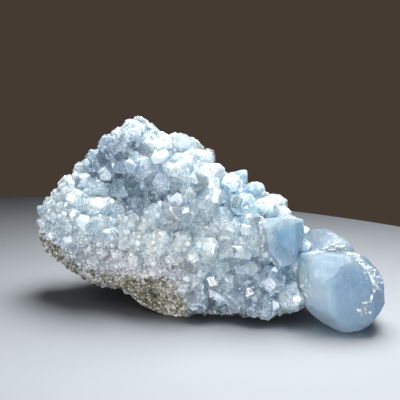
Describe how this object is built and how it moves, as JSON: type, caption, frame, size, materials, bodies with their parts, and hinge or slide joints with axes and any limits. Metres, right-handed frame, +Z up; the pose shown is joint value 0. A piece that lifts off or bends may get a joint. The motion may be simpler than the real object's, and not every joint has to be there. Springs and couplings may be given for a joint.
{
  "type": "celestite geode cluster",
  "caption": "Chunk of geode wall: rock rind with a thick crust of blocky pale blue crystals and two large clear blue crystals at its right end.",
  "frame": {"origin": "on the ground, under the middle of the part's box", "axes": "+X to the end with the largest crystal, +Z up, -Y towards the viewer who sees the crystals"},
  "size_m": [0.1432, 0.0762, 0.0775],
  "materials": {
    "rock": "matte",
    "crust": "gloss",
    "clear_blue": "gloss"
  },
  "bodies": {
    "root": {"rock_matrix": "rock", "crystal_crust": "crust", "large_crystal_middle": "clear_blue", "large_crystal_end": "clear_blue"}
  },
  "joints": []
}
